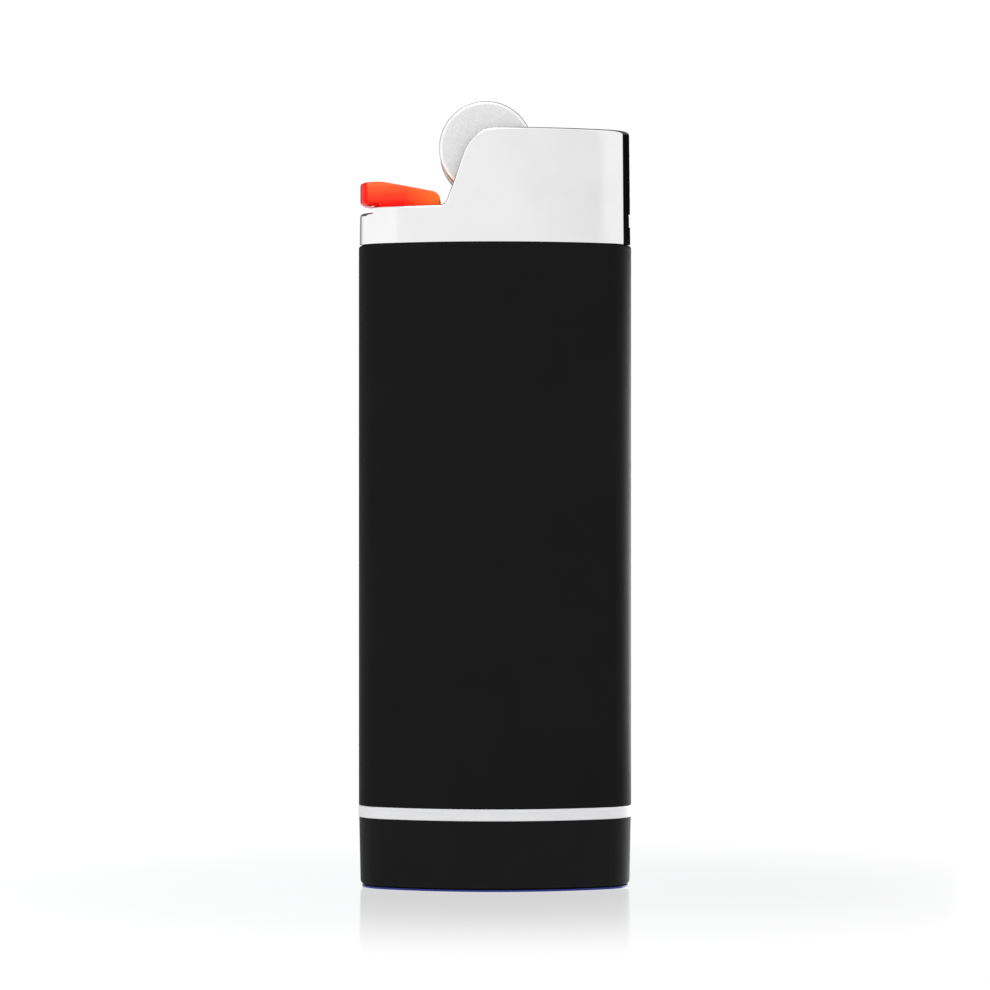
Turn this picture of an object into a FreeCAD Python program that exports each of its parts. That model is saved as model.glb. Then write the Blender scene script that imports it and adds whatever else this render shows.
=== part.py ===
# Small disposable-style pocket lighter: flint wheel, thumb lever, sprung gas valve.
# Row frame, millimetres. +Z up, +X from the lever end to the flame end, +Y across the thickness.
# Origin: centre of the footprint, on the surface the lighter stands on.
import FreeCAD, Part
import math
import os

V = FreeCAD.Vector
os.makedirs("parts", exist_ok=True)

# ------------------------------------------------------------------ driving dimensions
A = 10.85            # half width of the body (X)
B = 5.40             # half thickness of the body (Y)
R_END = 3.50         # end radius of the four-centre oval section
WALL = 0.50          # outer sleeve wall

CAP_DRAFT = 0.14     # the base cap narrows by this much at its foot
Z_FOOT = 0.15        # how far the tank base stands below the base cap
Z_RING0, Z_RING1 = 5.55, 6.50      # accent ring
Z_SLEEVE = 50.95     # top of the outer sleeve
Z_HOOD0, Z_HOOD1 = 51.00, 60.00    # wind hood
Z_SHOULDER = 53.93   # hood shoulder under the thumb lever
HOOD_T = 0.35        # hood sheet
HOOD_OFF0, HOOD_OFF1 = 0.06, 0.15  # hood inset from the body oval, bottom and top
HOOD_ROUND = 0.28    # rolled outer edge of the hood

WHEEL_X, WHEEL_Z = -0.70, 58.49    # wheel axle
R_THUMB = 3.72       # smooth thumb wheels
R_SPARK = 3.30       # file-cut wheel
R_AXLE = 0.70
LEVER_X, LEVER_Z = -0.70, 56.30    # lever trunnions
R_TRUN = 0.60
JET_X = 5.60         # valve and nozzle axis
JET_TIP = 55.15

Z_DECK0, Z_DECK = 49.80, 51.00     # top plate of the tank
TANK_OFF = 0.55
TANK_WALL = 1.00
R_FLINT = 1.15
R_FLINT_BORE = 1.25
Z_FLINT0, Z_FLINT1 = 50.15, 55.11
Z_FSPRING0 = 30.00

# ------------------------------------------------------------------ section of the body
R_FACE = (A * A + B * B - 2 * A * R_END) / (2 * (B - R_END))


def arc(c, r, a0, a1, z=0.0):
    am = 0.5 * (a0 + a1)
    p = [V(c[0] + r * math.cos(t), c[1] + r * math.sin(t), z) for t in (a0, am, a1)]
    return Part.Arc(*p).toShape()


def oval_wire(off, z, a=A, b=B, r_end=R_END):
    """Four-centre oval, offset inward by off: exact parallel curves, tangent arcs."""
    r_face = (a * a + b * b - 2 * a * r_end) / (2 * (b - r_end))
    ce, cf = a - r_end, r_face - b
    r1, r2 = r_end - off, r_face - off
    t = math.atan2(cf, ce)
    edges = [
        arc((ce, 0), r1, -t, t, z),
        arc((0, -cf), r2, t, math.pi - t, z),
        arc((-ce, 0), r1, math.pi - t, math.pi + t, z),
        arc((0, cf), r2, math.pi + t, 2 * math.pi - t, z),
    ]
    return Part.Wire(edges)


def oval(off, z0, z1, **k):
    return Part.Face(oval_wire(off, z0, **k)).extrude(V(0, 0, z1 - z0))


def oval_tube(off_out, off_in, z0, z1):
    return oval(off_out, z0, z1).cut(oval(off_in, z0 - 1, z1 + 1))


def cyl(r, z0, z1, x=0.0, y=0.0):
    return Part.makeCylinder(r, z1 - z0, V(x, y, z0), V(0, 0, 1))


def cyl_y(r, y0, y1, x, z):
    return Part.makeCylinder(r, y1 - y0, V(x, y0, z), V(0, 1, 0))


def box(x0, x1, y0, y1, z0, z1):
    return Part.makeBox(x1 - x0, y1 - y0, z1 - z0, V(x0, y0, z0))


def plate_xz(points, y0, y1):
    """Closed polygon in X and Z, extruded along Y."""
    p = [V(x, y0, z) for x, z in points]
    return Part.Face(Part.makePolygon(p + [p[0]])).extrude(V(0, y1 - y0, 0))


def edges_at_z(shape, z, radii=None, tol=1e-3):
    found = []
    for e in shape.Edges:
        b = e.BoundBox
        if abs(b.ZMin - z) < tol and abs(b.ZMax - z) < tol:
            r = getattr(e.Curve, "Radius", None)
            if radii is None or (r is not None and any(abs(r - q) < 1e-3 for q in radii)):
                found.append(e)
    return found


def oval_radii(off):
    return (R_END - off, R_FACE - off)


def spring(x, z0, z1, r_mean, r_wire, turns):
    """Compression spring: one round wire swept along a helix between z0 and z1."""
    height = z1 - z0 - 2 * r_wire - 0.02
    pitch = height / turns
    helix = Part.makeHelix(pitch, height, r_mean)
    slope = V(0, r_mean, pitch / (2 * math.pi))
    circle = Part.Wire(Part.makeCircle(r_wire, V(r_mean, 0, 0), slope))
    coil = Part.Wire(helix).makePipeShell([circle], True, True)
    if coil.ShapeType != "Solid":
        coil = Part.Solid(coil)
    coil.translate(V(x, 0, z0 + r_wire + 0.01))
    return coil


NODES = {}


def put(name, shape):
    shape = shape.removeSplitter() if shape.ShapeType != "Compound" or len(shape.Solids) == 1 else shape
    solids = shape.Solids
    if not solids:
        raise RuntimeError(name + " has no solid")
    shape = solids[0] if len(solids) == 1 else Part.makeCompound(solids)
    if not shape.isValid():
        print("INVALID", name)
    NODES[name] = shape


# ------------------------------------------------------------------ outer shells
sleeve = oval_tube(0, WALL, Z_RING1, Z_SLEEVE)
sleeve = sleeve.makeFillet(0.22, edges_at_z(sleeve, Z_SLEEVE, oval_radii(0)))
sleeve = sleeve.makeFillet(0.07, edges_at_z(sleeve, Z_RING1, oval_radii(0)))
put("outer_sleeve", sleeve)

ring = oval_tube(-0.03, WALL, Z_RING0 + 0.01, Z_RING1 - 0.01)
ring = ring.makeFillet(0.08, edges_at_z(ring, Z_RING0 + 0.01, oval_radii(-0.03)) + edges_at_z(ring, Z_RING1 - 0.01, oval_radii(-0.03)))
put("accent_ring", ring)

cap = Part.makeLoft([oval_wire(CAP_DRAFT, Z_FOOT), oval_wire(0.03, Z_RING0)], True, True)
cap = cap.makeFillet(0.42, edges_at_z(cap, Z_FOOT))
cap = cap.cut(oval(WALL + 0.02, -1, 8))
cap = cap.cut(oval(0.03, Z_RING0 - 0.06, 8).cut(oval(0.09, Z_RING0 - 0.06, 8)))
put("base_cap", cap)

# ------------------------------------------------------------------ tank base: welded plug, stands 0.15 proud as the foot
FILL_X = -5.6
R_BALL = 1.00
base = oval(0.27, 0, Z_FOOT - 0.01).fuse(oval(TANK_OFF, 0, 0.60))
base = base.fuse(oval(TANK_OFF + TANK_WALL + 0.03, 0, 2.0).cut(oval(TANK_OFF + TANK_WALL + 0.85, 1.1, 3)))
base = base.fuse(cyl(2.05, 0, 2.6, FILL_X))
base = base.cut(oval(2.1, -1, 0.30).cut(cyl(1.75, -1, 1, FILL_X)))
base = base.cut(cyl(R_BALL + 0.02, -1, 4, FILL_X))
put("tank_base", base)
ball = Part.makeSphere(R_BALL)
ball.translate(V(FILL_X, 0, 1.45))
put("filler_ball", ball)

# ------------------------------------------------------------------ fuel tank with its moulded head
tank = oval(TANK_OFF, 0.61, Z_DECK)
cavity = oval(TANK_OFF + TANK_WALL, -1, Z_DECK0)
solid_in = cyl(2.10, 28.3, Z_DECK0, WHEEL_X)                       # flint tube
solid_in = solid_in.fuse(cyl(3.60, 41.0, Z_DECK0, JET_X))           # valve boss
solid_in = solid_in.fuse(box(WHEEL_X - 0.45, WHEEL_X + 0.45, -5, 5, 4.0, Z_DECK0))   # stiffening web
cavity = cavity.cut(solid_in)
tank = tank.cut(cavity)
# collar inside the hood: low all round, higher at the flame end, with a snap boss
collar = oval_tube(TANK_OFF, 1.30, Z_DECK, 51.40)
rear = oval_tube(TANK_OFF, 1.30, Z_DECK, 53.80).common(box(8.2, 12, -4, 4, 50, 55))
tank = tank.fuse(collar).fuse(rear)
snap = oval_tube(0.16, 1.0, 52.52, 53.28).common(box(8.2, 12, -0.85, 0.85, 50, 55))
tank = tank.fuse(snap)
# flint tower, up to just under the wheels
tank = tank.fuse(cyl(2.10, Z_DECK0, 54.48, WHEEL_X))
# two ears that carry the wheel axle and the lever trunnions
EAR_IN, EAR_OUT = 4.00, 4.58
EAR_HALF = 1.15
for s in (-1, 1):
    y0, y1 = sorted((s * EAR_IN, s * EAR_OUT))
    ear = plate_xz([(WHEEL_X - 2.0, Z_DECK0 + 0.1), (WHEEL_X + 2.0, Z_DECK0 + 0.1), (WHEEL_X + 2.0, 53.5), (WHEEL_X + EAR_HALF, 55.0),
                    (WHEEL_X + EAR_HALF, 58.95), (WHEEL_X + 0.95, 59.25), (WHEEL_X - 0.95, 59.25), (WHEEL_X - EAR_HALF, 58.80),
                    (WHEEL_X - EAR_HALF, 55.0), (WHEEL_X - 2.0, 53.5)], y0, y1)
    tank = tank.fuse(ear)
for s in (-1, 1):
    y0, y1 = sorted((s * (EAR_IN - 0.3), s * (EAR_OUT + 0.5)))
    slot = cyl_y(R_AXLE + 0.05, y0, y1, WHEEL_X, WHEEL_Z).fuse(box(WHEEL_X - R_AXLE - 0.05, WHEEL_X + R_AXLE + 0.05, y0, y1, WHEEL_Z, 61))
    tank = tank.cut(slot).cut(cyl_y(R_TRUN + 0.05, y0, y1, LEVER_X, LEVER_Z))
tank = tank.cut(cyl(R_FLINT_BORE, 29.5, 56, WHEEL_X))               # flint bore, closed at the bottom
tank = tank.cut(cyl(2.60, 41.9, 52, JET_X)).cut(cyl(1.95, 38, 42, JET_X))   # valve bore
tank = tank.cut(cyl(3.15, Z_DECK, 51.80, JET_X))                    # room for the valve's flange
put("fuel_tank", tank)

# ------------------------------------------------------------------ gas valve
VX = JET_X
vb = cyl(2.56, 42.0, 51.02, VX).fuse(cyl(3.10, 51.02, 51.60, VX)).fuse(cyl(1.85, 40.3, 42.0, VX))
vb = vb.cut(cyl(1.75, 43.6, 52, VX))                                # chamber
vb = vb.fuse(cyl(0.75, 43.5, 43.75, VX))                            # raised seat
vb = vb.cut(cyl(0.22, 39, 44, VX))                                  # orifice
vb = vb.cut(cyl(1.30, 40.0, 42.80, VX))                             # filter and wick socket
groove = cyl(2.7, 46.4, 47.3, VX).cut(cyl(2.10, 46.4, 47.3, VX))
vb = vb.cut(groove)
vb = vb.makeFillet(0.15, edges_at_z(vb, 51.60, (3.10,)))
put("valve_body", vb)
oring = Part.makeTorus(2.35, 0.235, V(VX, 0, 46.85), V(0, 0, 1))
put("valve_o_ring", oring)
put("flow_filter", cyl(1.27, 42.20, 42.78, VX))
put("filter_retainer", cyl(1.28, 41.75, 42.18, VX).cut(cyl(0.75, 41, 43, VX)))
put("feed_wick", cyl(1.05, 3.2, 41.73, VX))
put("spring_retainer", cyl(1.73, 50.90, 51.45, VX).cut(cyl(0.95, 50, 52, VX)))

# nozzle: sprung down on its seat, lifted by the lever's fork
R_STEM = 0.85
COLLAR0, COLLAR1 = 53.78, 54.40
jet = cyl(R_STEM, 45.3, JET_TIP, VX).fuse(cyl(1.60, 44.2, 45.3, VX)).fuse(cyl(1.90, COLLAR0, COLLAR1, VX))
jet = jet.cut(cyl(1.10, 44.0, 44.55, VX))
tip = edges_at_z(jet, JET_TIP, (R_STEM,))
jet = jet.makeChamfer(0.22, tip)
jet = jet.makeFillet(0.12, edges_at_z(jet, COLLAR1, (1.90,)))
jet = jet.cut(cyl(0.32, 45.7, 58, VX)).cut(cyl_y(0.2, -3, 3, VX, 46.0))
put("jet_nozzle", jet)
put("jet_pad", cyl(1.08, 43.76, 44.54, VX))
put("jet_spring", spring(VX, 45.31, 50.89, 1.32, 0.15, 7.0))

# ------------------------------------------------------------------ flint and its spring
put("flint", cyl(R_FLINT, Z_FLINT0, Z_FLINT1, WHEEL_X))
put("flint_spring", spring(WHEEL_X, Z_FSPRING0, Z_FLINT0 - 0.01, 0.93, 0.14, 18.0))

# ------------------------------------------------------------------ wheel set
T_IN, T_OUT = 1.55, 3.20
put("wheel_axle", cyl_y(R_AXLE, -4.50, 4.50, WHEEL_X, WHEEL_Z))
for name, s in (("front_thumb_wheel", -1), ("rear_thumb_wheel", 1)):
    y0, y1 = sorted((s * T_IN, s * T_OUT))
    disc = cyl_y(R_THUMB, y0, y1, WHEEL_X, WHEEL_Z)
    rims = [e for e in disc.Edges if hasattr(e.Curve, "Radius") and abs(e.BoundBox.YMax - e.BoundBox.YMin) < 1e-6]
    outer = [e for e in rims if abs(e.BoundBox.YMin - s * T_OUT) < 1e-4]
    inner = [e for e in rims if abs(e.BoundBox.YMin - s * T_IN) < 1e-4]
    disc = disc.makeFillet(0.24, outer)
    disc = disc.cut(cyl_y(R_AXLE + 0.005, y0 - 1, y1 + 1, WHEEL_X, WHEEL_Z))
    put(name, disc)
TEETH = 56
pts = []
for i in range(TEETH):
    for k, r in ((0.0, R_SPARK), (0.30, R_SPARK - 0.16), (0.42, R_SPARK - 0.16)):
        t = 2 * math.pi * (i + k) / TEETH
        pts.append((WHEEL_X + r * math.cos(t), WHEEL_Z + r * math.sin(t)))
spark = plate_xz(pts, -T_IN + 0.02, T_IN - 0.02)
spark = spark.cut(cyl_y(R_AXLE + 0.005, -3, 3, WHEEL_X, WHEEL_Z))
put("spark_wheel", spark)

# ------------------------------------------------------------------ thumb lever: pad, two arms with trunnions, lifting fork
ARM_IN, ARM_OUT = 3.42, 3.85
PAD_X = 10.66                      # end of the pad
PAD_SKIRT = dict(a=10.26, b=4.70, r_end=2.92)
Z_PAD_LIP = 54.08                  # above this the thumb end stands over the hood's wall
R_PAD_END = 3.60                   # the thumb end: a broad upright face, curved in plan
R_PAD_SIDE, PAD_SIDE_C = 20.05, 15.43

skirt = Part.Face(oval_wire(0, 53.0, **PAD_SKIRT)).extrude(V(0, 0, 1.35))
crown = cyl(R_PAD_SIDE, Z_PAD_LIP, 57, 0, -PAD_SIDE_C).common(cyl(R_PAD_SIDE, Z_PAD_LIP, 57, 0, PAD_SIDE_C))
crown = crown.common(cyl(R_PAD_END, Z_PAD_LIP, 57, -PAD_X + R_PAD_END).fuse(box(-PAD_X + R_PAD_END - 0.5, 12, -6, 6, Z_PAD_LIP, 57)))
crown = crown.removeSplitter()
corners = [e for e in crown.Edges if e.BoundBox.ZLength > 2.5 and -10.6 < e.BoundBox.XMin < -9.5 and abs(e.BoundBox.YMin) > 1.0]
crown = crown.makeFillet(0.30, corners)
# side profile: level at the thumb end, then a straight slope down to a rounded tip
SLOPE0, SLOPE1 = V(-8.62, -6, 55.86), V(-4.72, -6, 55.03)
bend = (SLOPE1 - SLOPE0).normalize()
reach = 1.00
level = V(SLOPE0.x - reach, -6, 55.86 + reach * 0.0905)
mid = V(SLOPE0.x - 0.49 * reach, -6, 55.86 + 0.49 * reach * 0.135)
side = Part.Wire([
    Part.LineSegment(V(-11.5, -6, level.z), level).toShape(),
    Part.Arc(level, mid, SLOPE0).toShape(),
    Part.LineSegment(SLOPE0, SLOPE1).toShape(),
    Part.Arc(SLOPE1, V(-4.38, -6, 54.83), V(-4.28, -6, 54.45)).toShape(),
    Part.LineSegment(V(-4.28, -6, 54.45), V(-4.45, -6, 53.95)).toShape(),
    Part.LineSegment(V(-4.45, -6, 53.95), V(-4.80, -6, 53.60)).toShape(),
    Part.LineSegment(V(-4.80, -6, 53.60), V(-4.80, -6, 52.5)).toShape(),
    Part.LineSegment(V(-4.80, -6, 52.5), V(-11.5, -6, 52.5)).toShape(),
    Part.LineSegment(V(-11.5, -6, 52.5), V(-11.5, -6, level.z)).toShape()])
profile = Part.Face(side).extrude(V(0, 12, 0))
top_part = crown.common(profile)
low_part = skirt.common(crown.fuse(box(-12, 12, -6, 6, 52, Z_PAD_LIP))).common(profile)
pad = top_part.fuse(low_part)
hollow = oval(0.0, 52.5, 54.55, a=9.35, b=3.80, r_end=2.20).common(box(-12, -5.7, -6, 6, 52, 54.6))
lever = pad.cut(hollow)
arm_side = [(-6.40, 53.10), (-3.20, 52.55), (1.20, 52.55), (3.20, 53.02), (4.30, 53.02), (4.30, 53.66), (2.40, 53.66), (0.75, 55.10), (0.45, 56.30),
            (0.13, 57.02), (-0.66, 57.34), (-1.45, 57.02), (-1.78, 56.30), (-2.30, 55.00), (-3.30, 53.90), (-4.30, 53.90), (-5.00, 54.60), (-6.40, 54.60)]
for s in (-1, 1):
    y0, y1 = sorted((s * ARM_IN, s * ARM_OUT))
    arm = plate_xz(arm_side, y0, y1)
    lever = lever.fuse(arm.common(box(-6.4, -4.6, -6, 6, 50, 54.3)).common(skirt))
    lever = lever.fuse(arm.common(box(-4.9, 5, -6, 6, 50, 60)))
    y0, y1 = sorted((s * (ARM_OUT - 0.2), s * 4.50))
    lever = lever.fuse(cyl_y(R_TRUN, y0, y1, LEVER_X, LEVER_Z))
fork = box(3.20, 6.30, -ARM_OUT, ARM_OUT, 53.02, 53.50)
crest = cyl_y(0.64, -1.95, 1.95, JET_X, 53.06).common(box(4.4, 6.8, -3, 3, 53.10, 53.70))
fork = fork.cut(box(4.35, 8, 1.95, 6, 52, 55)).cut(box(4.35, 8, -6, -1.95, 52, 55)).fuse(crest)
stem_slot = box(JET_X - 0.15, 8, -1.08, 1.08, 52, 55).fuse(cyl(1.08, 52, 55, JET_X - 0.15))
fork = fork.cut(stem_slot)
lever = lever.fuse(fork)
put("thumb_lever", lever)

# ------------------------------------------------------------------ wind hood: drawn sheet, open chimney over the jet
H = Z_HOOD1 - Z_HOOD0
NOTCH_HALF, Z_NOTCH = 2.5, 53.49


def hood_loft(extra, z0, z1):
    slope = (HOOD_OFF1 - HOOD_OFF0) / H
    lo = HOOD_OFF0 + slope * (z0 - Z_HOOD0) + extra
    hi = HOOD_OFF0 + slope * (z1 - Z_HOOD0) + extra
    return Part.makeLoft([oval_wire(lo, z0), oval_wire(hi, z1)], True, True)


slant = [(-3.72, 54.50), (-3.22, 55.80), (-2.81, 57.02), (-2.50, 57.90), (-2.20, 58.58), (-1.92, 58.98), (-1.50, 59.42), (-1.02, 59.76), (-0.50, 59.95), (0.10, Z_HOOD1)]
t0, t1 = V(0.36, 0, 0.93), V(1, 0, 0)
sl = Part.BSplineCurve()
sl.interpolate([V(x, -7, z) for x, z in slant], InitialTangent=t0, FinalTangent=t1)
foot = Part.Arc(V(-4.42, -7, Z_SHOULDER), V(-3.98, -7, 54.09), V(-3.72, -7, 54.50)).toShape()
line = [V(0.10, -7, Z_HOOD1), V(12, -7, Z_HOOD1), V(12, -7, Z_HOOD0), V(-12, -7, Z_HOOD0), V(-12, -7, Z_SHOULDER), V(-4.42, -7, Z_SHOULDER)]
outline = Part.Wire([foot, sl.toShape()] + [Part.LineSegment(line[i], line[i + 1]).toShape() for i in range(len(line) - 1)])
hood = hood_loft(0.0, Z_HOOD0, Z_HOOD1 + 0.5).common(Part.Face(outline).extrude(V(0, 14, 0)))
# the end wall is lower under the thumb pad, so that the pad can pass over it
hood = hood.cut(box(-12, -8, -NOTCH_HALF, NOTCH_HALF, Z_NOTCH, 56))
# the rolled outer edge runs right round: shoulder, slanted fronts and top
rims = []
for e in hood.Edges:
    bb = e.BoundBox
    flat_cut = bb.YLength < 1e-6 and abs(bb.YMin) < NOTCH_HALF + 0.01
    if bb.ZMin > Z_HOOD0 + 1 and not (bb.YLength > 4.9 and bb.XLength < 1e-3) and bb.XLength > 0.3 and not flat_cut:
        rims.append(e)
done = 0.0
for r in (HOOD_ROUND, 0.24, 0.20, 0.16):
    try:
        rounded = hood.makeFillet(r, rims)
    except Exception:
        continue
    if rounded.isValid() and 0 < hood.Volume - rounded.Volume < 5:
        hood, done = rounded, r
        break
print("hood edge radius", done, "on", len(rims), "edges")
hood = hood.cut(hood_loft(HOOD_T, Z_HOOD0 - 0.5, Z_HOOD1 + 0.5))
window = box(8, 12, -1.00, 1.00, 52.40, 53.40)
hood = hood.cut(window)
for z in (55.0, 56.4, 57.8):
    hood = hood.cut(Part.makeCylinder(0.42, 4, V(8.0, 0, z), V(1, 0, 0)))
put("wind_hood", hood)

# ------------------------------------------------------------------ write the pieces
for name, shape in NODES.items():
    shape.exportStep("parts/" + name + ".step")
    bb = shape.BoundBox
    print("%-18s %8.2f mm3  x %6.2f %6.2f  y %6.2f %6.2f  z %6.2f %6.2f  solids %d" % (
        name, shape.Volume, bb.XMin, bb.XMax, bb.YMin, bb.YMax, bb.ZMin, bb.ZMax, len(shape.Solids)))
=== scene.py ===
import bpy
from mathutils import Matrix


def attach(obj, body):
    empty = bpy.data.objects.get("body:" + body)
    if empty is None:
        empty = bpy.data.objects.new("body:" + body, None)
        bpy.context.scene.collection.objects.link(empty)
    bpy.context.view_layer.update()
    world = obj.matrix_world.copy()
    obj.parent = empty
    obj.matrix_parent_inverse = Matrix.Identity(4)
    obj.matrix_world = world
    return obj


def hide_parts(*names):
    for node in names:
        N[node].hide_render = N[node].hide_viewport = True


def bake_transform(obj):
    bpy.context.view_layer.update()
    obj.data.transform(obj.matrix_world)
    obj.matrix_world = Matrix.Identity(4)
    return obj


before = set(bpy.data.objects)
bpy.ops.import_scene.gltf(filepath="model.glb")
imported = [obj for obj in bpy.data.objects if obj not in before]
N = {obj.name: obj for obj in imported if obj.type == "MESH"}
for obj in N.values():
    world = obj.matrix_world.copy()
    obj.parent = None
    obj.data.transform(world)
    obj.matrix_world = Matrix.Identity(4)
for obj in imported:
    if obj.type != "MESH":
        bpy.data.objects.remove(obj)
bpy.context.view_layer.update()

import math

import bmesh
import bpy
from mathutils import Matrix, Vector

scene = bpy.context.scene
MM = 0.001


# ------------------------------------------------------------------ small helpers for node materials
class Mat:
    """A node material: a Principled shader plus whatever is wired to it."""

    def __init__(self, name, rough=0.4, metal=0.0, colour=(0.5, 0.5, 0.5), **sockets):
        self.m = bpy.data.materials.new(name)
        self.m.use_nodes = True
        self.t = self.m.node_tree
        self.t.nodes.clear()
        self.out = self.t.nodes.new("ShaderNodeOutputMaterial")
        self.p = self.t.nodes.new("ShaderNodeBsdfPrincipled")
        self.t.links.new(self.p.outputs[0], self.out.inputs[0])
        self.p.inputs["Roughness"].default_value = rough
        self.p.inputs["Metallic"].default_value = metal
        self.p.inputs["Base Color"].default_value = (*colour, 1)
        for k, v in sockets.items():
            self.p.inputs[k.replace("_", " ")].default_value = v
        self.coord = self.t.nodes.new("ShaderNodeTexCoord")
        self.m.diffuse_color = (*colour, 1)

    def node(self, kind, **props):
        n = self.t.nodes.new(kind)
        for k, v in props.items():
            setattr(n, k, v)
        return n

    def link(self, a, b):
        self.t.links.new(a, b)

    def mapped(self, scale=(1, 1, 1), loc=(0, 0, 0)):
        """Object coordinates, in metres, times scale."""
        n = self.node("ShaderNodeMapping")
        n.inputs["Scale"].default_value = scale
        n.inputs["Location"].default_value = loc
        self.link(self.coord.outputs["Object"], n.inputs[0])
        return n.outputs[0]

    def noise(self, scale, detail=3.0, rough=0.5, vec=None, distortion=0.0):
        n = self.node("ShaderNodeTexNoise")
        n.inputs["Scale"].default_value = scale
        n.inputs["Detail"].default_value = detail
        n.inputs["Roughness"].default_value = rough
        n.inputs["Distortion"].default_value = distortion
        self.link(vec if vec is not None else self.coord.outputs["Object"], n.inputs["Vector"])
        return n.outputs[0]

    def ramp(self, fac, *stops, interp="LINEAR"):
        n = self.node("ShaderNodeValToRGB")
        n.color_ramp.interpolation = interp
        e = n.color_ramp.elements
        while len(e) < len(stops):
            e.new(0.5)
        for k, (p, c) in zip(e, stops):
            k.position = p
            k.color = (*c, 1) if isinstance(c, tuple) else (c, c, c, 1)
        self.link(fac, n.inputs[0])
        return n.outputs[0]

    def span(self, fac, a, b, c, d):
        n = self.node("ShaderNodeMapRange")
        for i, v in enumerate((a, b, c, d)):
            n.inputs[i + 1].default_value = v
        self.link(fac, n.inputs[0])
        return n.outputs[0]

    def math(self, op, a, b=None):
        n = self.node("ShaderNodeMath", operation=op)
        for i, v in enumerate((a, b)):
            if v is None:
                continue
            if isinstance(v, (int, float)):
                n.inputs[i].default_value = v
            else:
                self.link(v, n.inputs[i])
        return n.outputs[0]

    def mix(self, fac, a, b, blend="MIX"):
        n = self.node("ShaderNodeMix", data_type="RGBA", blend_type=blend)
        for sock, v in ((n.inputs[0], fac), (n.inputs[6], a), (n.inputs[7], b)):
            if isinstance(v, (int, float)):
                sock.default_value = v
            elif isinstance(v, tuple):
                sock.default_value = (*v, 1)
            else:
                self.link(v, sock)
        return n.outputs[2]

    def axis(self, which):
        n = self.node("ShaderNodeSeparateXYZ")
        self.link(self.coord.outputs["Object"], n.inputs[0])
        return n.outputs["XYZ".index(which)]

    def bump(self, height, strength, distance, normal=None):
        n = self.node("ShaderNodeBump")
        n.inputs["Strength"].default_value = strength
        n.inputs["Distance"].default_value = distance
        self.link(height, n.inputs["Height"])
        if normal is not None:
            self.link(normal, n.inputs["Normal"])
        return n.outputs[0]

    def set(self, name, value):
        self.link(value, self.p.inputs[name])
        return self


def give(node, mat):
    o = N[node] if isinstance(node, str) else node
    o.data.materials.clear()
    o.data.materials.append(mat.m)


def edge_wear(m, low, high):
    """0 to 1 mask on convex edges, from the mesh's pointiness."""
    g = m.node("ShaderNodeNewGeometry")
    return m.span(g.outputs["Pointiness"], low, high, 0.0, 1.0)


# ------------------------------------------------------------------ materials
# black moulded sleeve: fine spark-eroded grain, faint handling marks
def black_plastic(name, base, rough, spec):
    m = Mat(name, rough=rough, colour=base)
    m.p.inputs["Specular IOR Level"].default_value = spec
    grain = m.noise(9000, 2.0, 0.6)
    cloud = m.noise(160, 4.0, 0.55)
    smear = m.noise(420, 3.0, 0.6, vec=m.mapped((1, 1, 0.12)))
    dark = tuple(c * 0.92 for c in base)
    light = tuple(c * 1.10 for c in base)
    m.set("Base Color", m.mix(m.span(cloud, 0.3, 0.7, 0, 1), dark, light))
    r = m.math("ADD", m.span(grain, 0.3, 0.7, rough - 0.05, rough + 0.05), m.span(smear, 0.35, 0.7, -0.03, 0.04))
    m.set("Roughness", r)
    m.set("Normal", m.bump(grain, 0.42, 0.00002))
    return m


sleeve = black_plastic("sleeve_black", (0.0090, 0.0090, 0.0091), 0.43, 0.018)
give("outer_sleeve", sleeve)
cap = black_plastic("cap_black", (0.0072, 0.0072, 0.0073), 0.48, 0.065)
give("base_cap", cap)

# pale satin band
band = Mat("band_satin", rough=0.42, metal=0.0, colour=(0.66, 0.66, 0.67))
line = band.noise(2600, 3.0, 0.6, vec=band.mapped((0.18, 0.18, 3.0)))
band.set("Base Color", band.mix(band.span(line, 0.3, 0.7, 0, 1), (0.69, 0.69, 0.70), (0.76, 0.76, 0.77)))
band.set("Roughness", band.span(line, 0.3, 0.7, 0.36, 0.50))
band.set("Normal", band.bump(line, 0.15, 0.00002))
give("accent_ring", band)


# dark navy moulded resin of the inner tank
navy = Mat("tank_navy", rough=0.28, colour=(0.003, 0.008, 0.13))
navy.p.inputs["Specular IOR Level"].default_value = 0.45
flow = navy.noise(240, 4.0, 0.55, vec=navy.mapped((1, 1, 0.35)))
navy.set("Base Color", navy.mix(navy.span(flow, 0.3, 0.7, 0, 1), (0.003, 0.008, 0.150), (0.005, 0.014, 0.210)))
navy.set("Roughness", navy.span(navy.noise(3000, 2.0), 0.3, 0.7, 0.22, 0.36))
navy.set("Normal", navy.bump(navy.noise(2400, 2.0), 0.12, 0.00002))
give("fuel_tank", navy)
give("tank_base", navy)

# mirror nickel hood: long-wave plating ripple, hairlines, faint handling haze
hood = Mat("hood_chrome", rough=0.045, metal=1.0, colour=(0.93, 0.93, 0.94))
hair = hood.noise(1400, 4.0, 0.7, vec=hood.mapped((3.0, 3.0, 0.10)))
haze = hood.noise(210, 4.0, 0.6)
hood.set("Base Color", hood.mix(hood.span(haze, 0.35, 0.7, 0, 1), (0.945, 0.945, 0.95), (0.905, 0.905, 0.915)))
hood.set("Roughness", hood.math("ADD", hood.span(haze, 0.35, 0.75, 0.025, 0.075), hood.span(hair, 0.45, 0.75, 0.0, 0.03)))
ripple = hood.bump(hood.noise(110, 1.0), 0.05, 0.00008)
hood.set("Normal", hood.bump(hair, 0.02, 0.00001, normal=ripple))
give("wind_hood", hood)

# smooth thumb wheels: satin turned face, polished rim, a painted dark outline round the outermost edge
WX, WZ = -0.70 * MM, 58.49 * MM


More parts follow.
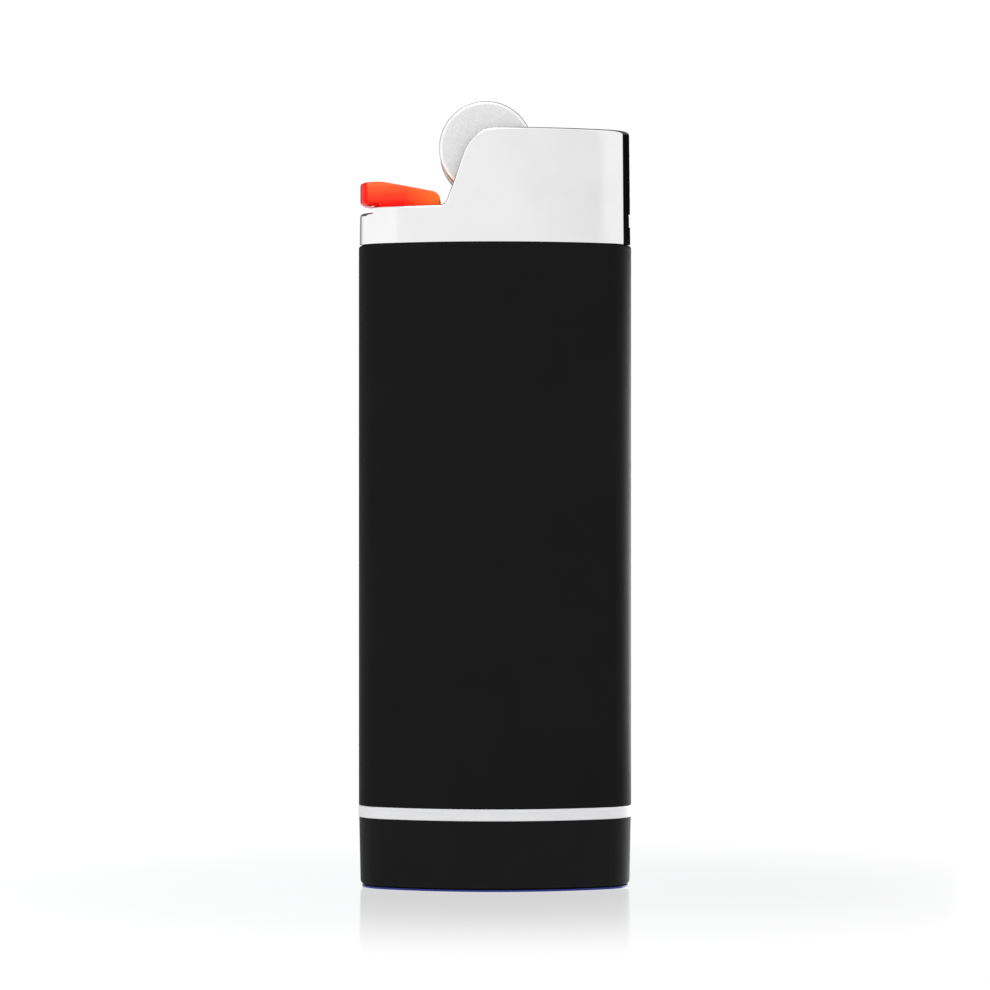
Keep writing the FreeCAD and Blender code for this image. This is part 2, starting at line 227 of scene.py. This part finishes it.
def wheel_metal(name):
    m = Mat(name, rough=0.38, metal=1.0, colour=(0.80, 0.80, 0.80))
    off = m.node("ShaderNodeVectorMath", operation="SUBTRACT")
    off.inputs[1].default_value = (WX, 0, WZ)
    m.link(m.coord.outputs["Object"], off.inputs[0])
    sep = m.node("ShaderNodeSeparateXYZ")
    m.link(off.outputs[0], sep.inputs[0])
    r = m.math("SQRT", m.math("ADD", m.math("POWER", sep.outputs[0], 2.0), m.math("POWER", sep.outputs[2], 2.0)))
    comb = m.node("ShaderNodeCombineXYZ")
    m.link(r, comb.inputs[0])
    m.link(m.math("MULTIPLY", sep.outputs[1], 0.4), comb.inputs[1])
    rings = m.noise(9000, 3.0, 0.6, vec=comb.outputs[0])
    speck = m.noise(5200, 3.0, 0.7)
    rim = m.span(r, 3.40 * MM, 3.47 * MM, 0.0, 1.0)
    grey = m.mix(m.span(rings, 0.3, 0.7, 0, 1), (0.765, 0.765, 0.765), (0.80, 0.80, 0.80))
    grey = m.mix(m.span(speck, 0.38, 0.62, 0, 0.8), grey, (0.875, 0.875, 0.875))
    # painted shade: a dark outline painted round the wheel's outermost edge
    painted_outline = m.span(r, 3.63 * MM, 3.68 * MM, 0.0, 1.0)
    m.set("Base Color", m.mix(painted_outline, m.mix(rim, grey, (0.96, 0.96, 0.96)), (0.60, 0.60, 0.60)))
    satin = m.math("ADD", m.span(rings, 0.3, 0.7, 0.36, 0.48), m.span(speck, 0.4, 0.7, 0.0, 0.06))
    m.set("Roughness", m.math("MULTIPLY", satin, m.span(rim, 0, 1, 1.0, 0.85)))
    h = m.math("ADD", m.math("MULTIPLY", rings, 0.6), m.math("MULTIPLY", speck, 0.4))
    m.set("Normal", m.bump(h, 0.16, 0.00003))
    return m


steel = wheel_metal("wheel_satin")
for n in ("front_thumb_wheel", "rear_thumb_wheel", "wheel_axle"):
    give(n, steel)

# file-cut wheel: dark hardened steel, bright on the tips
filed = Mat("wheel_file", rough=0.42, metal=1.0, colour=(0.30, 0.30, 0.31))
pits = filed.noise(5200, 4.0, 0.7)
tipm = edge_wear(filed, 0.50, 0.56)
filed.set("Base Color", filed.mix(tipm, filed.mix(filed.span(pits, 0.35, 0.7, 0, 1), (0.20, 0.20, 0.21), (0.36, 0.355, 0.35)), (0.62, 0.61, 0.60)))
filed.set("Roughness", filed.span(pits, 0.3, 0.7, 0.32, 0.55))
filed.set("Normal", filed.bump(pits, 0.5, 0.00003))
give("spark_wheel", filed)

# glossy orange-red lever: painted light and shade, deep red at the bottom and lighter orange towards the thin top edge
red = Mat("lever_red", rough=0.16, colour=(0.86, 0.07, 0.02))
red.p.inputs["Specular IOR Level"].default_value = 0.035
red.p.inputs["Coat Weight"].default_value = 0.03
red.p.inputs["Coat Roughness"].default_value = 0.06
red.p.inputs["Subsurface Weight"].default_value = 0.18
red.p.inputs["Subsurface Radius"].default_value = (1.0, 0.25, 0.1)
red.p.inputs["Subsurface Scale"].default_value = 0.0005
zz = red.axis("Z")
# painted shade low down by the hood's edges, painted light towards the top where the light falls
painted_light_and_shade = red.ramp(red.span(zz, 53.6 * MM, 55.8 * MM, 0.0, 1.0),
                 (0.0, (0.62, 0.002, 0.0)), (0.22, (0.95, 0.009, 0.006)), (0.50, (1.0, 0.052, 0.020)), (0.80, (1.0, 0.105, 0.030)), (1.0, (1.0, 0.16, 0.045)), interp="EASE")
swirl = red.noise(520, 4.0, 0.6, vec=red.mapped((0.5, 1, 1)))
# painted light: lighter orange at the thin tip, as if light came through it; the thumb end is thick
xx = red.axis("X")
# painted light: the tip is mixed towards a pale orange
painted_light_and_shade = red.mix(red.span(xx, -7.2 * MM, -4.4 * MM, 0.0, 0.75), painted_light_and_shade, (1.0, 0.23, 0.036))
# painted shade: the thumb end's face is mixed to a deeper red
painted_light_and_shade = red.mix(red.span(xx, -10.22 * MM, -10.05 * MM, 0.92, 0.0), painted_light_and_shade, (0.84, 0.001, 0.0))
painted_light_and_shade = red.mix(red.span(xx, -4.27 * MM, -4.22 * MM, 0.0, 1.0), painted_light_and_shade, (0.90, 0.028, 0.010))
swirl_and_painted_light = red.mix(red.span(swirl, 0.35, 0.7, 0.0, 0.16), painted_light_and_shade, (0.90, 0.030, 0.010))
red.set("Base Color", swirl_and_painted_light)
# painted glow: the lever emits a little of its colour, painted light and shade included, though it is no lamp
red.set("Emission Color", swirl_and_painted_light)
red.p.inputs["Emission Strength"].default_value = 0.10
red.set("Roughness", red.span(red.noise(900, 3.0), 0.3, 0.7, 0.12, 0.22))
red.set("Normal", red.bump(red.noise(700, 2.0), 0.05, 0.00003))
give("thumb_lever", red)

# turned brass jet with heat tint near its tip
brass = Mat("jet_brass", rough=0.25, metal=1.0, colour=(0.72, 0.52, 0.24))
turn = brass.noise(5200, 3.0, 0.6, vec=brass.mapped((0.05, 0.05, 2.0)))
heat = brass.span(brass.axis("Z"), 54.4 * MM, 55.15 * MM, 0.0, 1.0)
body_c = brass.mix(brass.span(turn, 0.3, 0.7, 0, 1), (0.62, 0.43, 0.19), (0.78, 0.57, 0.28))
brass.set("Base Color", brass.mix(brass.math("MULTIPLY", heat, 0.75), body_c, (0.24, 0.17, 0.14)))
brass.set("Roughness", brass.math("ADD", brass.span(turn, 0.3, 0.7, 0.16, 0.30), brass.math("MULTIPLY", heat, 0.18)))
brass.set("Normal", brass.bump(turn, 0.18, 0.00002))
give("jet_nozzle", brass)

# turned valve metal
valve = Mat("valve_metal", rough=0.3, metal=1.0, colour=(0.72, 0.70, 0.66))
vt = valve.noise(4200, 3.0, 0.6, vec=valve.mapped((0.06, 0.06, 1.6)))
valve.set("Base Color", valve.mix(valve.span(vt, 0.3, 0.7, 0, 1), (0.62, 0.60, 0.56), (0.78, 0.76, 0.72)))
valve.set("Roughness", valve.span(vt, 0.3, 0.7, 0.22, 0.38))
valve.set("Normal", valve.bump(vt, 0.2, 0.00002))
for n in ("valve_body", "filter_retainer", "spring_retainer"):
    give(n, valve)

# drawn spring wire
wire = Mat("spring_steel", rough=0.26, metal=1.0, colour=(0.55, 0.55, 0.56))
wn = wire.noise(3600, 3.0, 0.6)
wire.set("Base Color", wire.mix(wire.span(wn, 0.3, 0.7, 0, 1), (0.46, 0.46, 0.47), (0.64, 0.64, 0.65)))
wire.set("Roughness", wire.span(wn, 0.3, 0.7, 0.20, 0.34))
wire.set("Normal", wire.bump(wn, 0.1, 0.00001))
for n in ("jet_spring", "flint_spring"):
    give(n, wire)

# polished ball
ballm = Mat("ball_steel", rough=0.1, metal=1.0, colour=(0.72, 0.72, 0.73))
bn = ballm.noise(1800, 4.0, 0.6)
ballm.set("Base Color", ballm.mix(ballm.span(bn, 0.35, 0.7, 0, 1), (0.78, 0.78, 0.79), (0.62, 0.62, 0.63)))
ballm.set("Roughness", ballm.span(bn, 0.35, 0.7, 0.06, 0.16))
ballm.set("Normal", ballm.bump(bn, 0.05, 0.00001))
give("filler_ball", ballm)

# seals
rub = Mat("seal_rubber", rough=0.6, colour=(0.012, 0.012, 0.012))
rn = rub.noise(4000, 3.0, 0.6)
rub.set("Base Color", rub.mix(rub.span(rn, 0.3, 0.7, 0, 1), (0.009, 0.009, 0.009), (0.022, 0.022, 0.022)))
rub.set("Roughness", rub.span(rn, 0.3, 0.7, 0.5, 0.72))
rub.set("Normal", rub.bump(rn, 0.3, 0.00002))
for n in ("valve_o_ring", "jet_pad"):
    give(n, rub)

# wick and filter: pale fibres
fib = Mat("wick_fibre", rough=0.9, colour=(0.80, 0.78, 0.72))
wv = fib.noise(3000, 4.0, 0.7, vec=fib.mapped((2.0, 2.0, 0.25)))
fib.set("Base Color", fib.mix(fib.span(wv, 0.3, 0.7, 0, 1), (0.62, 0.59, 0.52), (0.86, 0.84, 0.78)))
fib.set("Roughness", fib.span(wv, 0.3, 0.7, 0.82, 0.97))
fib.set("Normal", fib.bump(wv, 0.6, 0.00006))
for n in ("feed_wick", "flow_filter"):
    give(n, fib)

# flint: dull grey alloy, worn brighter at the top
fl = Mat("flint_alloy", rough=0.62, metal=0.6, colour=(0.16, 0.15, 0.14))
fn = fl.noise(3400, 5.0, 0.7)
topf = fl.span(fl.axis("Z"), 54.9 * MM, 55.15 * MM, 0.0, 0.7)
fl.set("Base Color", fl.mix(topf, fl.mix(fl.span(fn, 0.3, 0.7, 0, 1), (0.10, 0.095, 0.09), (0.22, 0.205, 0.19)), (0.40, 0.38, 0.36)))
fl.set("Roughness", fl.span(fn, 0.3, 0.7, 0.5, 0.8))
fl.set("Normal", fl.bump(fn, 0.5, 0.00005))
give("flint", fl)

# ------------------------------------------------------------------ the lever's pad, with its rounded edges
def half_outline():
    """Plan of the pad, y >= 0, from the thumb end round to the tip: broad end arc, side arc, straight tip. Millimetres."""
    pts = []
    cx, r = -10.74 + 3.60, 3.60
    corner = math.asin(1.88 / r)
    for i in range(61):
        t = corner * i / 60
        pts.append((cx - r * math.cos(t), r * math.sin(t)))
    x0 = pts[-1][0]
    for i in range(1, 161):
        x = x0 + (-4.28 - x0) * i / 160
        pts.append((x, math.sqrt(20.05 ** 2 - x * x) - 15.43))
    y0 = pts[-1][1]
    for i in range(1, 61):
        pts.append((-4.28, y0 * (1 - i / 60)))
    # even spacing, then corners eased to a radius of about 0.3
    full = [(x, -y) for x, y in reversed(pts)][:-1] + pts
    acc = [0.0]
    for p, q in zip(full, full[1:]):
        acc.append(acc[-1] + math.dist(p, q))
    n = 480
    even, k = [], 0
    for i in range(n + 1):
        d = acc[-1] * i / n
        while k < len(acc) - 2 and acc[k + 1] < d:
            k += 1
        u = (d - acc[k]) / max(acc[k + 1] - acc[k], 1e-9)
        even.append((full[k][0] + u * (full[k + 1][0] - full[k][0]), full[k][1] + u * (full[k + 1][1] - full[k][1])))
    even = even[:-1]
    w = 7
    out = []
    for i in range(n):
        sx_ = sy_ = sw = 0.0
        for j in range(-w, w + 1):
            g = math.exp(-(j / 3.4) ** 2)
            x, y = even[(i + j) % n]
            sx_, sy_, sw = sx_ + g * x, sy_ + g * y, sw + g
        out.append((sx_ / sw, sy_ / sw))
    return out          # closed loop, starts at the tip's centre, n points, mirror of i is n - i


TIP_ROLL = 0.66


def pad_top(x):
    """Height of the pad's top: level at the thumb end, eased into a straight slope."""
    slope = (55.86 - 55.03) / (8.62 - 4.72)
    line_z = 55.86 + (-8.62 - x) * slope
    flat = 55.945 - 0.02 * max(0.0, -x - 9.6) ** 2
    h = 0.10
    lo = min(line_z, flat)
    d = abs(line_z - flat)
    z = lo - max(0.0, h - d) ** 2 / (4 * h)
    # the tip rolls over to its nose
    u = min(0.985, max(0.0, (x + 4.28 + TIP_ROLL) / TIP_ROLL))
    return z - TIP_ROLL * (1.0 - math.sqrt(1.0 - u * u))


loop = half_outline()
n = len(loop)
normals = []
for i in range(n):
    (ax, ay), (bx, by) = loop[i - 1], loop[(i + 1) % n]
    dx, dy = bx - ax, by - ay
    L = math.hypot(dx, dy)
    normals.append((dy / L, -dx / L))
cxm = sum(p[0] for p in loop) / n
if (loop[0][0] - cxm) * normals[0][0] < 0:
    normals = [(-a_, -b_) for a_, b_ in normals]


def smooth01(x, a_, b_):
    t_ = min(1.0, max(0.0, (x - a_) / (b_ - a_)))
    return t_ * t_ * (3 - 2 * t_)


bm = bmesh.new()
rings = []


def ring(points):
    rings.append([bm.verts.new((x * MM, y * MM, z * MM)) for x, y, z in points])


def edge_r(x):
    return 0.26 - 0.08 * smooth01(x, -5.0, -4.4)


def low_z(x):
    return 54.085 - 0.585 * smooth01(x, -9.25, -8.95)


TIP_UNDER = 0.30
# under lip, wall, rounded shoulder
inset_lip = [(x - nx * 0.30, y - ny * 0.30, low_z(x)) for (x, y), (nx, ny) in zip(loop, normals)]
ring(inset_lip)
def lip(x):
    """Height of the bevel under the lip: tall at the thumb end, slight elsewhere."""
    return 0.24 - 0.20 * smooth01(x, -9.25, -8.95)


ring([(x - nx * 0.10, y - ny * 0.10, low_z(x) + lip(x) * 0.62) for (x, y), (nx, ny) in zip(loop, normals)])
ring([(x - nx * 0.02, y - ny * 0.02, low_z(x) + lip(x) * 0.9) for (x, y), (nx, ny) in zip(loop, normals)])
for f in (0.05, 0.2, 0.4, 0.6, 0.8, 1.0):
    pts = []
    for (x, y), (nx, ny) in zip(loop, normals):
        z0, z1 = low_z(x) + lip(x) + 0.02, pad_top(x) - edge_r(x)
        z = z0 + f * (z1 - z0)
        # the tip leans back under itself below its widest point
        back = TIP_UNDER * smooth01(x, -4.75, -4.30) * smooth01(54.45 - z, 0.0, 0.9)
        pts.append((x - nx * back, y - ny * back * 0.3, z))
    ring(pts)
for k in range(1, 9):
    th = math.pi / 2 * k / 8
    pts = []
    for (x, y), (nx, ny) in zip(loop, normals):
        r = edge_r(x)
        d = r * (1 - math.cos(th))
        px, py = x - nx * d, y - ny * d
        pts.append((px, py, pad_top(px) - r * (1 - math.sin(th))))
    ring(pts)
for a_, b_ in zip(rings, rings[1:]):
    for i in range(n):
        j = (i + 1) % n
        bm.faces.new((a_[i], a_[j], b_[j], b_[i]))
# top skin: rows across the pad, a faint thumb dish down the middle
last = rings[-1]
half = n // 2
cols = 14
prev = None
for i in range(0, half + 1):
    p, q = last[i], last[(n - i) % n]
    if p is q:
        row_v = [p] * (cols + 1)
    else:
        row_v = [p]
        for c in range(1, cols):
            u = c / cols
            y = p.co.y + u * (q.co.y - p.co.y)
            x = p.co.x + u * (q.co.x - p.co.x)
            z = pad_top(x / MM) * MM
            edge_d = min(u, 1 - u) * abs(q.co.y - p.co.y)
            z -= 0.05 * MM * smooth01(edge_d / MM, 0.0, 1.6) * smooth01(x / MM, -10.2, -8.8) * (1 - smooth01(x / MM, -6.6, -5.2))
            row_v.append(bm.verts.new((x, y, z)))
        row_v.append(q)
    if prev is not None:
        for c in range(cols):
            vs = []
            for v in (prev[c], prev[c + 1], row_v[c + 1], row_v[c]):
                if v not in vs:
                    vs.append(v)
            if len(vs) >= 3:
                try:
                    bm.faces.new(vs)
                except ValueError:
                    pass
    prev = row_v
# underside
bot = rings[0]
prev = None
for i in range(0, half + 1):
    p, q = bot[i], bot[(n - i) % n]
    if prev is not None:
        vs = []
        for v in (prev[0], prev[1], q, p):
            if v not in vs:
                vs.append(v)
        if len(vs) >= 3:
            try:
                bm.faces.new(vs)
            except ValueError:
                pass
    prev = (p, q)
bmesh.ops.recalc_face_normals(bm, faces=bm.faces)
me = bpy.data.meshes.new("lever_pad")
bm.to_mesh(me)
bm.free()
me.shade_smooth()
me.set_sharp_from_angle(angle=math.radians(50))
pad = bpy.data.objects.new("lever_pad", me)
scene.collection.objects.link(pad)
give(pad, red)

# the rest of the lever, under the pad: a copy of the moulding, cut off below the pad's lip and drawn in a hair under it
src = N["thumb_lever"].data.copy()
src.name = "lever_arms"
bm = bmesh.new()
bm.from_mesh(src)
bmesh.ops.remove_doubles(bm, verts=bm.verts, dist=1e-7)
for v in bm.verts:
    if v.co.x < -4.26 * MM:
        v.co.z = min(v.co.z, (54.0 if v.co.x > -9.1 * MM else 54.088) * MM)
        if v.co.x > -4.75 * MM and v.co.z > 53.7 * MM:
            v.co.x = -4.72 * MM
bmesh.ops.dissolve_degenerate(bm, edges=bm.edges, dist=1e-7)
for v in bm.verts:
    if v.co.x < -9.0 * MM and v.co.z < 54.2 * MM:
        # the skirt's end is drawn in a little under the pad's lip
        v.co.x = -9.0 * MM + (v.co.x + 9.0 * MM) * 0.55
    if v.co.x < -4.0 * MM:
        k = smooth01(-v.co.x / MM, 4.0, 5.0) * smooth01(v.co.z / MM, 53.2, 53.5) * (1 - smooth01(-v.co.x / MM, 8.7, 9.3))
        v.co.y *= 1 - 0.03 * k
bm.to_mesh(src)
bm.free()
arms = bpy.data.objects.new("lever_arms", src)
scene.collection.objects.link(arms)
give(arms, red)
src.shade_smooth()
src.set_sharp_from_angle(angle=math.radians(32))
for piece in (pad, arms):
    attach(piece, "lever")
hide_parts("thumb_lever")

# the two springs: the same wire, each a copy of its moulded coil put in place of the original
for name, moving, fixed_z, free_z in (("jet_spring", "jet", 50.89, 45.31), ("flint_spring", "flint", 29.90, 50.14)):
    coil_mesh = N[name].data.copy()
    coil_mesh.name = name + "_coil"
    coil_mesh.transform(N[name].matrix_world)
    coil = bpy.data.objects.new(name + "_coil", coil_mesh)
    scene.collection.objects.link(coil)
    give(coil, wire)
    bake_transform(coil)
    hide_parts(name)

# ------------------------------------------------------------------ smooth shading: sharp edges stay sharp
for o in N.values():
    me = o.data
    me.shade_smooth()
    try:
        me.set_sharp_from_angle(angle=math.radians(32))
    except Exception:
        pass

# ------------------------------------------------------------------ floor
bm = bmesh.new()
bmesh.ops.create_grid(bm, x_segments=2, y_segments=2, size=3.0)
me = bpy.data.meshes.new("floor")
bm.to_mesh(me)
bm.free()
floor = bpy.data.objects.new("floor", me)
scene.collection.objects.link(floor)
fm = bpy.data.materials.new("floor_white")
fm.use_nodes = True
t = fm.node_tree
t.nodes.clear()
out = t.nodes.new("ShaderNodeOutputMaterial")
mixs = t.nodes.new("ShaderNodeMixShader")
em = t.nodes.new("ShaderNodeEmission")
em.inputs[0].default_value = (1, 1, 1, 1)
em.inputs[1].default_value = 1.02
gl = t.nodes.new("ShaderNodeBsdfGlossy")
gl.inputs["Color"].default_value = (0.955, 0.98, 1.0, 1)
gl.inputs["Roughness"].default_value = 0.12
geo = t.nodes.new("ShaderNodeNewGeometry")
length = t.nodes.new("ShaderNodeVectorMath")
length.operation = "LENGTH"
rng = t.nodes.new("ShaderNodeMapRange")
rng.interpolation_type = "SMOOTHERSTEP"
rng.inputs[1].default_value = 0.004
rng.inputs[2].default_value = 0.062
rng.inputs[3].default_value = 0.36
rng.inputs[4].default_value = 0.0
t.links.new(geo.outputs["Position"], length.inputs[0])
t.links.new(length.outputs["Value"], rng.inputs[0])
t.links.new(rng.outputs[0], mixs.inputs[0])
t.links.new(em.outputs[0], mixs.inputs[1])
t.links.new(gl.outputs[0], mixs.inputs[2])
t.links.new(mixs.outputs[0], out.inputs[0])
me.materials.append(fm)

# ------------------------------------------------------------------ studio: white tent all round, darker behind, one black flag behind on the right
world = bpy.data.worlds.new("studio")
scene.world = world
world.use_nodes = True
wt = world.node_tree
wt.nodes.clear()
wo = wt.nodes.new("ShaderNodeOutputWorld")
bg_cam = wt.nodes.new("ShaderNodeBackground")
bg_cam.inputs[0].default_value = (1, 1, 1, 1)
bg_cam.inputs[1].default_value = 1.02
bg_env = wt.nodes.new("ShaderNodeBackground")
lp = wt.nodes.new("ShaderNodeLightPath")
mx = wt.nodes.new("ShaderNodeMixShader")
wt.links.new(lp.outputs["Is Camera Ray"], mx.inputs[0])
wt.links.new(bg_env.outputs[0], mx.inputs[1])
wt.links.new(bg_cam.outputs[0], mx.inputs[2])
wt.links.new(mx.outputs[0], wo.inputs[0])
tc = wt.nodes.new("ShaderNodeTexCoord")
sx = wt.nodes.new("ShaderNodeSeparateXYZ")
wt.links.new(tc.outputs["Generated"], sx.inputs[0])


def wmath(op, a, b=None):
    n = wt.nodes.new("ShaderNodeMath")
    n.operation = op
    for i, v in enumerate((a, b)):
        if v is None:
            continue
        if isinstance(v, (int, float)):
            n.inputs[i].default_value = v
        else:
            wt.links.new(v, n.inputs[i])
    return n.outputs[0]


def wramp(fac, stops):
    n = wt.nodes.new("ShaderNodeValToRGB")
    e = n.color_ramp.elements
    while len(e) < len(stops):
        e.new(0.5)
    for k, (p, c) in zip(e, stops):
        k.position = p
        k.color = (c, c, c, 1)
    wt.links.new(fac, n.inputs[0])
    return n.outputs[0]


# azimuth: 0 is towards the camera (-Y), +90 towards +X, from -180 to 180; as 0..1 across
azim = wmath("ARCTAN2", sx.outputs[0], wmath("MULTIPLY", sx.outputs[1], -1.0))
az01 = wmath("ADD", wmath("DIVIDE", azim, 2 * math.pi), 0.5)


def A(deg):
    return deg / 360.0 + 0.5


around = wramp(az01, [
    (A(-180), 0.90), (A(-172), 0.90), (A(-166), 0.30), (A(-150), 0.30), (A(-140), 0.80), (A(-126), 1.0), (A(-52), 1.0), (A(-50), 0.92),
    (A(0), 0.90), (A(54), 0.83), (A(55.5), 0.93), (A(111), 0.93), (A(113), 0.004), (A(164), 0.004), (A(170), 0.45), (A(180), 0.90)])
elev = wmath("ARCSINE", sx.outputs[2])
el01 = wmath("ADD", wmath("DIVIDE", elev, math.pi), 0.5)
# overhead the tent closes: a bright soft box above, all directions alike
high = wramp(el01, [(0.0, 0.0), (0.5 + 42 / 180, 0.0), (0.5 + 52 / 180, 1.0), (1.0, 1.0)])
mixw = wt.nodes.new("ShaderNodeMix")
mixw.data_type = "RGBA"
wt.links.new(high, mixw.inputs[0])
wt.links.new(around, mixw.inputs[6])
mixw.inputs[7].default_value = (0.95, 0.95, 0.95, 1)
# a dark card up behind gives the upper edges their thin outline
behind = wramp(az01, [(0.0, 1.0), (A(-120), 1.0), (A(-110), 0.0), (A(110), 0.0), (A(120), 1.0), (1.0, 1.0)])
low_back = wramp(el01, [(0.5 + 8 / 180, 0.0), (0.5 + 11 / 180, 1.0), (0.5 + 68 / 180, 1.0), (0.5 + 78 / 180, 0.0)])
card = wt.nodes.new("ShaderNodeMix")
card.data_type = "RGBA"
wt.links.new(wmath("MULTIPLY", behind, low_back), card.inputs[0])
wt.links.new(mixw.outputs[2], card.inputs[6])
card.inputs[7].default_value = (0.10, 0.10, 0.10, 1)
wt.links.new(card.outputs[2], bg_env.inputs[0])
bg_env.inputs[1].default_value = 1.0


def area(name, loc, look, size, power, colour=(1, 1, 1)):
    d = bpy.data.lights.new(name, "AREA")
    d.shape = "RECTANGLE"
    d.size, d.size_y = size
    d.energy = power
    d.color = colour
    o = bpy.data.objects.new(name, d)
    o.location = loc
    o.rotation_euler = (Vector(look) - Vector(loc)).to_track_quat("-Z", "Y").to_euler()
    scene.collection.objects.link(o)
    return o


area("key_top", (-0.10, -0.16, 0.42), (0, 0, 0.04), (0.30, 0.22), 0.45)
# a low strip behind on the right, under the line of the hood, draws the body's right edge
t_ = math.radians(135)
strip = area("rim_right", (0.130 * math.sin(t_), -0.130 * math.cos(t_), 0.0282), (0, 0, 0.0282), (0.110, 0.0555), 0.125)
strip.visible_camera = False

# ------------------------------------------------------------------ camera, level
cam_d = bpy.data.cameras.new("camera")
cam_d.sensor_width = 36.0
cam_d.lens = 143.3
cam_d.shift_y = 10.5 / 990.0
cam_d.clip_start = 0.01
cam_d.clip_end = 20.0
cam = bpy.data.objects.new("camera", cam_d)
cam.location = (0.0, -0.314, 0.0303)
cam.rotation_euler = (math.radians(90), 0, 0)
scene.collection.objects.link(cam)
scene.camera = cam

# the picture keeps plain, unsqueezed tones
scene.view_settings.view_transform = "Standard"
scene.view_settings.look = "None"
